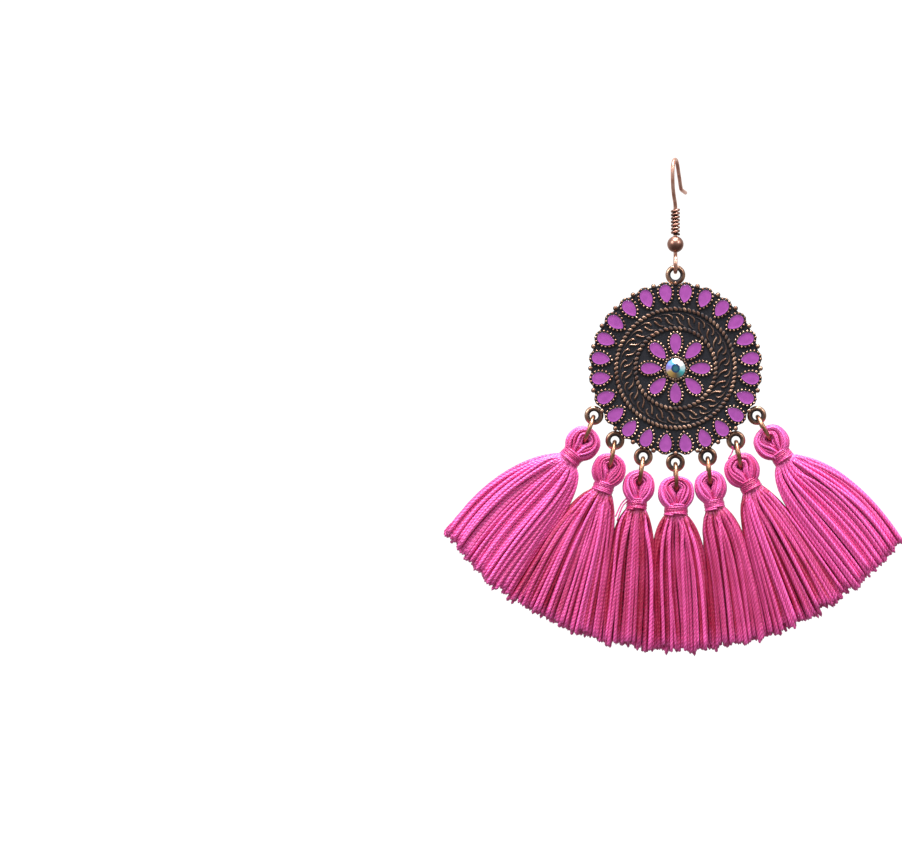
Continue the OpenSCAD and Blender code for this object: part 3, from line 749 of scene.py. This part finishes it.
def add_thread(shape, k, s, q, reach, outer, t, spread):
    """One thread, from inside the binding to its cut tip. s is its place from left to right, as 0
    to 1, q its place from front to back, as -1 to 1, and spread the skirt's width at shares t."""
    row = tassel_table[k]
    line = thread_line(k, s, min(reach, fringe_r + longest), t)
    ahead = unit(np.gradient(line, axis=0))
    side = np.stack([-ahead[:, 1], ahead[:, 0]], axis=-1)
    line = line + side * wander(t, s, spread)[:, None]
    # Depth: round in the neck, and flat with round edges further down
    half_neck = row["bind_d"] / 2 - neck_in
    neck_x = (s - 0.5) * 1.8 * half_neck
    neck_y = q * math.sqrt(max(0.04, half_neck ** 2 - neck_x ** 2))
    edge = math.sqrt(max(0.0, 1 - abs(2 * s - 1) ** section_power))
    full = (skirt_depth / 2 - 0.05) * edge
    skirt_y = q * full * 0.9
    height = rng.choice(proud_steps, p=proud_odds) if outer else 0.0
    proud = height * np.sign(q)
    depth = mix(neck_y, skirt_y, np.sqrt(smooth(-0.3, 0.75, t)))
    depth = mix(neck_y, depth, smooth(0.0, 0.1, t)) + proud * smooth(0.05, 0.3, t)
    radius = thread_d / 2 * mix(0.7, 1.0, smooth(0.0, 0.3, t)) * rng.uniform(0.86, 1.2)
    radius = np.concatenate([radius[:1] * 0.9, radius])
    start = line[0] - tuck * down(row["lean"])
    path = np.stack([line[:, 0], depth, line[:, 1]], axis=-1)
    path = np.vstack([[start[0], neck_y * 0.92, start[1]], path])
    # Painted light and shade in the tone: threads that stand out are lighter and those inside are darker,
    # as lit and shaded threads would look, and cut tips are the lightest, as painted light; a random part
    # on top is each thread's own tone
    tone_and_painted_light = row["tone_and_painted_light"]
    tone = tone_and_painted_light + 0.9 * height + rng.normal(0, 0.2) if outer else tone_and_painted_light - 0.6 + rng.uniform(0, 0.2)
    turn = rng.uniform(0, 2 * math.pi)
    mark = min(max(tone, 0.0), 1.0) + 0.7 * smooth(0.94, 1.0, np.concatenate([[0], t]))
    shape.tube(path, radius, 10 if outer else 6, [0, 1, 0], mark=mark, turn=turn,
               ends=(0, rng.uniform(0.2, 1.6)))


def add_skirt(shape, k):
    """All threads of a skirt, in layers from front to back, with clumps that end together."""
    width = fringe_r * math.radians(edge_table[k + 1]["tip"] - edge_table[k]["tip"]) - skirt_gap
    columns = int(round(width / thread_pitch))
    layers = int(round(skirt_depth / thread_d))
    clumps = np.repeat(rng.uniform(*clump_reach, columns), 2)
    for layer in range(layers):
        outer = layer in (0, layers - 1)
        t = np.linspace(0, 1, 26 if outer else 14) ** 1.15
        left = thread_line(k, 0.0, fringe_r, t)
        right = thread_line(k, 1.0, fringe_r, t)
        spread = np.linalg.norm(right - left, axis=1)
        for column in range(columns):
            s = (column + 0.5 + 0.25 * (-1) ** layer + rng.normal(0, column_off)) / columns
            s = min(max(s, 0.004), 0.996)
            q = ((layer + 0.5 + rng.normal(0, 0.1)) / layers) * 2 - 1
            reach = fringe_r + clumps[int(s * columns * 0.9)] + rng.normal(0, cut_off)
            add_thread(shape, k, s, q, reach, outer, t, spread)


# Way of the looped bundle over the ring's wire, on the left: its middle's place from the wire,
# and its thickness and depth as shares, for a head of full width
head_full_w = 6.35
head_path = [
    dict(x=-0.78, z=-3.5, thick=0.88, deep=1.06),
    dict(x=-0.84, z=-2.8, thick=0.98, deep=1.1),
    dict(x=-1.24, z=-2.05, thick=1.38, deep=1.2),
    dict(x=-1.56, z=-1.15, thick=1.62, deep=1.22),
    dict(x=-1.78, z=-0.1, thick=1.46, deep=1.14),
    dict(x=-1.5, z=1.0, thick=1.2, deep=1.04),
]
ring_wire_d = 0.8
ring_clear = 0.12
head_steps = 34
head_share = np.linspace(0, 1, head_steps)
loop_d = 0.44
loop_in = 0.4 * loop_d
# Loops of the two legs keep this far from the middle below the eye
seam_x = 0.45 * loop_d
# The bundle's section is squarer than an ellipse, which would have the power 1
square = 0.72
core_share = 0.74
# Layers of loops: their share of the bundle's section and how many loops go round it
loop_layers = [(0.84, 20), (1.0, 24)]
filler_count = 9
filler_r = 0.36
# Heights from the wire: the fillers' feet, and their tops at the front and at the back
filler_low = -3.6
filler_high = -1.15
filler_high_back = -0.75
# The disc behind the eye, with the depths of its rim and back as shares of the head's
eye_disc_r = 0.95
eye_drop = 0.1
eye_rim_deep = 0.62
eye_back_deep = 0.9


def head_curve(head_w):
    """The bundle's middle line and its half sizes, smoothed between the rows of the table."""
    wide = head_w / head_full_w
    left = [[row["x"] * wide, row["z"], row["thick"] * wide, row["deep"]] for row in head_path]
    top = [[0, ring_wire_d / 2 + ring_clear + bundle_t / 2, 1.0, 1.0]]
    right = [[-x, z, thick, deep] for x, z, thick, deep in left[::-1]]
    rows = np.array(left + top + right)
    out = smooth_rows(rows, np.linspace(0, len(rows) - 1.001, head_steps))
    return out[:, :2], out[:, 2] * bundle_t / 2, out[:, 3] * head_depth / 2


def head_place(k, x, z, y):
    """Points of a head, from distances to the right of its ring's wire and above it, and depths."""
    lean = tassel_table[k]["lean"]
    origin = necks[k] - neck_drop * down(lean)
    plane = origin + x[:, None] * across(lean) - z[:, None] * down(lean)
    return np.stack([plane[:, 0], y, plane[:, 1]], axis=-1)


def apart(x, z):
    """Distances to the right that keep the loops of the two legs on their own sides."""
    leg = np.where(head_share < 0.5, -1.0, 1.0)
    return np.where(z < -0.2, leg * np.maximum(leg * x, seam_x), x)


def add_loops(shape, k):
    """The inner core of the bundle and the layers of thread round it."""
    s = head_share
    line, half_t, half_d = head_curve(tassel_table[k]["head_w"])
    ahead = unit(np.gradient(line, axis=0))
    side = np.stack([-ahead[:, 1], ahead[:, 0]], axis=-1)
    core = []
    for q in np.arange(12) * math.pi / 6:
        x = line[:, 0] + side[:, 0] * half_t * core_share * math.cos(q)
        z = line[:, 1] + side[:, 1] * half_t * core_share * math.cos(q)
        core.append(head_place(k, apart(x, z), z, half_d * core_share * math.sin(q)))
    # The core takes the darkest tone: painted shade that shows in the gaps between the loops
    shape.grid(np.array(core).transpose(1, 0, 2)[:, ::-1], 0.0)
    for share, count in loop_layers:
        for i in range(count):
            q = (i + rng.uniform(-0.35, 0.35)) * 2 * math.pi / count
            drift = rng.normal(0, 0.2) * np.sin(math.pi * s + rng.uniform(0, 3)) \
                + rng.normal(0, 0.3) * (s - 0.5) + 0.65 * np.abs(2 * s - 1) * math.sin(q)
            ripple = 1 + rng.normal(0, 0.03) + 0.03 * np.sin(2 * math.pi * s * rng.uniform(0.5, 1.5)
                                                            + rng.uniform(0, 6))
            a = (half_t - loop_in) * share * ripple
            b = (half_d - loop_in) * share * ripple
            out = np.cos(q + drift)
            out = a * np.sign(out) * np.abs(out) ** square
            front = np.sin(q + drift)
            front = b * np.sign(front) * np.abs(front) ** square
            x = line[:, 0] + side[:, 0] * out
            z = line[:, 1] + side[:, 1] * out
            tone = float(np.clip(0.6 + rng.normal(0, 0.3), 0, 1))
            shape.tube(head_place(k, apart(x, z), z, front), loop_d / 2 * rng.uniform(0.85, 1.15), 8,
                       [0, 1, 0], mark=tone, turn=rng.uniform(0, 2 * math.pi))


def add_fillers(shape, k):
    """Threads between the two legs that close the seam, in the darkest tone as painted shade there. Those
    at the back reach up to the wire.
    """
    middle = (filler_count - 1) // 2
    for i in range(filler_count):
        y = (i - middle) / middle * 0.75 * head_depth / 2 * np.ones(8)
        z = np.linspace(filler_low, filler_high if i < middle else filler_high_back, 8)
        x = rng.uniform(-0.12, 0.12) * np.ones(8)
        shape.tube(head_place(k, x, z, y), filler_r, 8, [0, 1, 0], mark=0.0, ends=(0, 0.8))


def add_eye(shape, k):
    """The far side of the eye, as a disc in the darkest tone: painted shade for the bundle's own shade
    there.
    """
    q = np.arange(12) * math.pi / 6
    rim = head_place(k, eye_disc_r * np.cos(q), eye_disc_r * np.sin(q) - eye_drop,
                     eye_rim_deep * head_depth / 2 * np.ones(12))
    inner = rim * [1, 0, 1] + [0, eye_back_deep * head_depth / 2, 0]
    shape.grid(np.array([inner, rim])[:, ::-1], 0.0, start=inner.mean(axis=0), end=rim.mean(axis=0))


# Loose threads: the number of the tassel, from 0, and [x, z] points from the medallion's middle
stray_table = [
    (2, [(-8.1, -23.0), (-9.1, -23.8), (-9.95, -24.8), (-10.9, -26.9)]),
    (2, [(-8.1, -23.4), (-8.95, -24.3), (-9.7, -25.2), (-10.6, -27.6)]),
    (0, [(-32.0, -21.2), (-33.3, -21.1), (-35.7, -22.9), (-37.6, -25.6)]),
    (0, [(-38.0, -26.9), (-39.2, -27.1), (-40.8, -28.2), (-42.0, -29.6)]),
    (5, [(9.6, -16.4), (10.1, -15.6), (10.4, -14.9), (10.3, -14.2)]),
]
stray_r = 0.13
stray_y = -0.8


def add_strays(shape, k):
    """The loose threads that belong to one tassel."""
    for owner, rows in stray_table:
        if owner == k:
            line = smooth_line(rows, 24)
            path = np.column_stack([line[:, 0], np.full(24, stray_y), line[:, 1]])
            shape.tube(path, stray_r, 8, [0, 1, 0], mark=0.8, ends=(0.5, 1.0))


# The wound thread reaches a little past the binding's height, and its turns just overlap
wound_h = 1.24 * bind_h
wound_pitch = wound_h / bind_turns
wound_r = 0.52 * wound_pitch
lip_rise = 0.1


def add_binding(shape, k):
    """Fine thread wound tightly round the neck, a little fuller at its two lips."""
    lean = tassel_table[k]["lean"]
    right, below = across(lean), down(lean)
    bind_r = tassel_table[k]["bind_d"] / 2 - 2 * wound_r
    a = np.linspace(0, 2 * math.pi * bind_turns, 36 * bind_turns + 1) + rng.uniform(0, 6)
    share = np.linspace(-1, 1, len(a))
    drop = share * (wound_h - wound_pitch) / 2 + 0.07 * np.cos(a + rng.uniform(0, 6)) \
        + 0.03 * np.sin(2.6 * a + rng.uniform(0, 6))
    r = bind_r + wound_r + lip_rise * smooth(0.55, 0.85, np.abs(share)) + 0.04 * np.sin(2.3 * a)
    plane = necks[k] + (r * np.cos(a))[:, None] * right + drop[:, None] * below
    path = np.stack([plane[:, 0], r * np.sin(a), plane[:, 1]], axis=-1)
    tones = rng.uniform(0, 1, bind_turns + 1)
    tones = np.interp(a, a[0] + 2 * math.pi * np.arange(bind_turns + 1), tones)
    shape.tube(path, wound_r, 8, [below[0], 0, below[1]], mark=tones)
    # The sleeve under the turns, so that no gap shows between them, in a dark tone: painted shade between
    # the turns
    q = np.arange(32) * math.pi / 16
    sleeve = []
    for rise in (-0.5, 0.5):
        ring = necks[k] + (bind_r * np.cos(q))[:, None] * right + rise * wound_h * below
        sleeve.append(np.stack([ring[:, 0], bind_r * np.sin(q), ring[:, 1]], axis=-1))
    shape.grid(np.array(sleeve), 0.1)


for k in range(tassel_count):
    skirt = Shape()
    add_skirt(skirt, k)
    add_strays(skirt, k)
    head = Shape()
    add_loops(head, k)
    add_fillers(head, k)
    add_eye(head, k)
    binding = Shape()
    add_binding(binding, k)
    for shape, name, material, node, slot in (
            (skirt, "skirt", skirt_thread, "tassel", "thread"),
            (head, "head", head_thread, "tassel", "thread"),
            (binding, "binding", bind_thread, "tassel_wrap", "binding")):
        piece = shape.make(f"tassel_{k + 1}_{name}", material, "tone", in_fringe)
        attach(piece, "pendant")
        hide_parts(f"{node}_{k + 1}")


# Hook: the wire and its coil are drawn again in round section, and the bead keeps its solid

wire_d = 0.7
wire_clear = 0.05
hook_turn = 15.0
eye_r = 1.47
hook_shank = 8.875
# The wire above its shank: [length, 0] straights and [radius, turn] bends in degrees, where a
# positive turn leans it towards the tail
wire_steps = [(1.5, -40), (1.0, 0), (5.0, 40), (1.75, 0), (2.05, 148), (4.8, 0), (0.9, -50), (3.1, 0)]
soften_passes = 14
# The eye starts at the shank and stops short of a full turn by a narrow slit
eye_start = 88
eye_turn = 355
coil_wire_d = 0.46
coil_turns = 7
sleeve_t = 0.04
sleeve_in = 0.1


def dress(node, material):
    """Gives a CAD node its material and smooth shading."""
    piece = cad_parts[node]
    piece.data.materials.clear()
    piece.data.materials.append(material)
    for face in piece.data.polygons:
        face.use_smooth = True


def add_coil(shape, low_z, high_z):
    """Round wire wound round the stem."""
    r = wire_d / 2 + wire_clear + coil_wire_d / 2
    angle = np.linspace(0, 2 * math.pi * coil_turns, coil_turns * 28 + 1)
    z = np.linspace(low_z + coil_wire_d / 2, high_z - coil_wire_d / 2, len(angle))
    shape.tube(np.stack([r * np.cos(angle), r * np.sin(angle), z], axis=-1), coil_wire_d / 2, 12,
               [0, 0, 1], ends=(0.3, 0.3))


def add_sleeve(shape, low_z, high_z):
    """Dark sleeve on the stem, which shows between the turns of the coil: painted shade for the gaps
    between the turns.
    """
    z = np.linspace(low_z + sleeve_in, high_z - sleeve_in, 12)
    shape.tube(np.stack([0 * z, 0 * z, z], axis=-1), wire_d / 2 + sleeve_t, 20, [1, 0, 0],
               ends=(0.05, 0.05))


def wire_path(start_z):
    """Points along the hook's wire in its own plane, [towards the tail, z]."""
    place = np.array([0.0, start_z])
    heading = 0.0
    points = [place + [0, s * hook_shank] for s in np.linspace(0, 1, 24)]
    place = points[-1]
    for size, turn in wire_steps:
        count = 10 if turn == 0 else max(8, int(abs(turn) / 5))
        length = size if turn == 0 else size * math.radians(abs(turn))
        for i in range(count):
            a = math.radians(heading + turn * (i + 0.5) / count)
            place = place + length / count * np.array([math.sin(a), math.cos(a)])
            points.append(place)
        heading += turn
    return np.array(points)


def soften(points, passes):
    """Evens out where straights meet bends."""
    for _ in range(passes):
        points[1:-1] = (points[:-2] + 2 * points[1:-1] + points[2:]) / 4
    return points


def add_wire(shape, low_z):
    """The wire from its shank to its tip, and the eye at its foot."""
    eye_z = low_z + wire_d / 2 + eye_r
    way = soften(wire_path(eye_z + eye_r), soften_passes)
    turn = math.radians(hook_turn)
    back = [math.sin(turn), math.cos(turn)]
    shape.tube(np.stack([way[:, 0] * back[0], way[:, 0] * back[1], way[:, 1]], axis=-1), wire_d / 2, 16,
               [math.cos(turn), -math.sin(turn), 0], ends=(0.0, 0.4))
    angle = np.radians(np.linspace(eye_start, eye_start - eye_turn, 60))
    shape.tube(np.stack([0 * angle, eye_r * np.cos(angle), eye_z + eye_r * np.sin(angle)], axis=-1),
               wire_d / 2, 16, [1, 0, 0], ends=(0.2, 0.2))


coil_low_z, coil_high_z = (corner[2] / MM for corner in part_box("hook_coil"))
sleeve = Shape()
add_sleeve(sleeve, coil_low_z, coil_high_z)
coil = Shape()
add_coil(coil, coil_low_z, coil_high_z)
wire = Shape()
add_wire(wire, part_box("ear_wire")[0][2] / MM)
for shape, name, material, node in (
        (sleeve, "hook_coil_painted_shade", painted_coil_shade, "hook_coil"),
        (coil, "hook_coil_wound", coil_copper, "hook_coil"),
        (wire, "ear_wire_drawn", hook_copper, "ear_wire")):
    piece = shape.make(name, material)
    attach(piece, "ear_hook")
    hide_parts(node)
dress("hook_bead", coil_copper)


# Jump rings

for k in range(tassel_count):
    dress(f"jump_ring_{k + 1}", ring_brass)


# Centre stone

# Colours round the stone from the left, counter-clockwise, each with its share of the turn: violet, gold,
# turquoise, white, sky blue and violet again. The stone's rainbow coating is real, but these colours are
# set at fixed places as the stone shows them from the front, so they are partly painted reflection, and
# the white is a painted glare.
rainbow = [
    (0.0, (170, 150, 225)), (0.08, (240, 208, 120)), (0.18, (214, 170, 84)), (0.26, (150, 120, 80)),
    (0.34, (110, 170, 160)), (0.41, (70, 224, 230)), (0.5, (196, 232, 236)), (0.62, (226, 220, 216)),
    (0.69, (222, 180, 176)), (0.76, (110, 200, 232)), (0.86, (104, 172, 240)), (0.94, (146, 140, 232)),
    (1.0, (170, 150, 225)),
]
# Radii between which the table's colour gives way to the rainbow, and where its middle fades
stone_table_r = (0.74, 0.86)
stone_middle_r = (0.25, 0.65)


def fill_ramp(ramp, stops):
    """Sets the colours of a ramp node from shares and seen colours."""
    elements = ramp.color_ramp.elements
    for element, (position, colour) in ((elements[0], stops[0]), (elements[1], stops[-1])):
        element.position = position
        element.color = (*srgb(*colour), 1)
    for position, colour in stops[1:-1]:
        elements.new(position).color = (*srgb(*colour), 1)


def stone_material():
    """Cut glass with a rainbow coating: its colour turns with the place round the stone. The coating's
    colours and the dark blue table, darkest in its middle, are partly painted reflection, set where the
    stone shows them from the front.
    """
    m = Nodes(bpy.data.materials.new("rainbow_stone"))
    place = m.node("SeparateXYZ", {"Vector": m.place()})
    x = m.math("SUBTRACT", place.outputs["X"], float(medallion_centre[0]) * MM)
    z = m.math("SUBTRACT", place.outputs["Z"], float(medallion_centre[2]) * MM)
    round_share = m.math("ADD", m.math("DIVIDE", m.math("ARCTAN2", z, x), 2 * math.pi), 0.5)
    ramp = m.node("ValToRGB", {"Fac": round_share})
    fill_ramp(ramp, rainbow)
    radius = m.math("SQRT", m.math("ADD", m.math("MULTIPLY", x, x), m.math("MULTIPLY", z, z)))
    table = m.spread(radius, stone_table_r[0] * MM, stone_table_r[1] * MM)
    fade = m.spread(radius, stone_middle_r[0] * MM, stone_middle_r[1] * MM)
    # Painted reflection: the table is dark blue, darkest in its middle
    middle = m.blend(fade, srgb(44, 108, 118), srgb(16, 58, 104))
    m.link(m.blend(table, middle, ramp.outputs["Color"]), "Base Color")
    m.set(Metallic=0.3, Roughness=0.08, Coat_Weight=1.0, Coat_Roughness=0.02)
    m.set(Thin_Film_Thickness=380.0, Thin_Film_IOR=1.6)
    return m.owner


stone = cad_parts["centre_stone"]
stone.data.materials.clear()
stone.data.materials.append(stone_material())


# Stage: a white background, a surround that lights most from above and behind, and three soft lights

# Strength of the background that is seen, and of the surround's light: straight below, straight
# above, and what the back adds
seen_strength = 1.1
world_low = 0.3
world_high = 0.6
world_back = 0.5


def add_world():
    """White behind the object, and a surround of light that is strongest above and behind."""
    world = bpy.data.worlds.new("studio")
    bpy.context.scene.world = world
    m = Nodes(world, "Background")
    m.set(Color=(1.0, 1.0, 1.0, 1.0), Strength=seen_strength)
    way = m.node("TexCoord").outputs["Generated"]
    parts = m.node("SeparateXYZ", {"Vector": way})
    above = m.spread(parts.outputs["Z"], -1.0, 1.0, world_low, world_high, "LINEAR")
    behind = m.spread(parts.outputs["Y"], 0.1, 0.8, 0.0, world_back, "LINEAR")
    light = m.node("Background", {"Strength": m.math("ADD", above, behind)})
    ray = m.node("LightPath").outputs["Is Camera Ray"]
    both = m.node("MixShader", {0: ray, 1: light.outputs[0], 2: m.shader.outputs[0]})
    m.tree.links.new(both.outputs[0], m.tree.nodes["World Output"].inputs["Surface"])


def softbox(name, place, size, power):
    """Square area light that faces the earring, lengths in millimetres and power in watts."""
    light = bpy.data.lights.new(name, "AREA")
    light.size = size * MM
    light.energy = power
    lamp = bpy.data.objects.new(name, light)
    bpy.context.scene.collection.objects.link(lamp)
    place = np.array(place, float)
    way = np.array(lit_point, float) - place
    lamp.location = place * MM
    lamp.rotation_euler = Vector(way).to_track_quat("-Z", "Y").to_euler()


add_world()
lit_point = (0, 0, -50)
softbox("left", (-440, -360, 280), 220, 2.1)
softbox("right", (460, -340, 310), 190, 1.5)
softbox("top", (0, -150, 560), 300, 10.0)

# Camera: straight from the front with a long lens, and the earring right of the picture's middle
view_distance = 1500.0
view_width = 164.0
view_x = -40.8
view_z = -48.7
sensor_width = 36.0
camera_data = bpy.data.cameras.new("camera")
camera_data.sensor_width = sensor_width
camera_data.lens = sensor_width * view_distance / view_width
camera_data.clip_end = 100.0
camera = bpy.data.objects.new("camera", camera_data)
bpy.context.scene.collection.objects.link(camera)
camera.location = (view_x * MM, -view_distance * MM, view_z * MM)
camera.rotation_euler = (math.pi / 2, 0, 0)
bpy.context.scene.camera = camera
bpy.context.scene.view_settings.view_transform = "Standard"
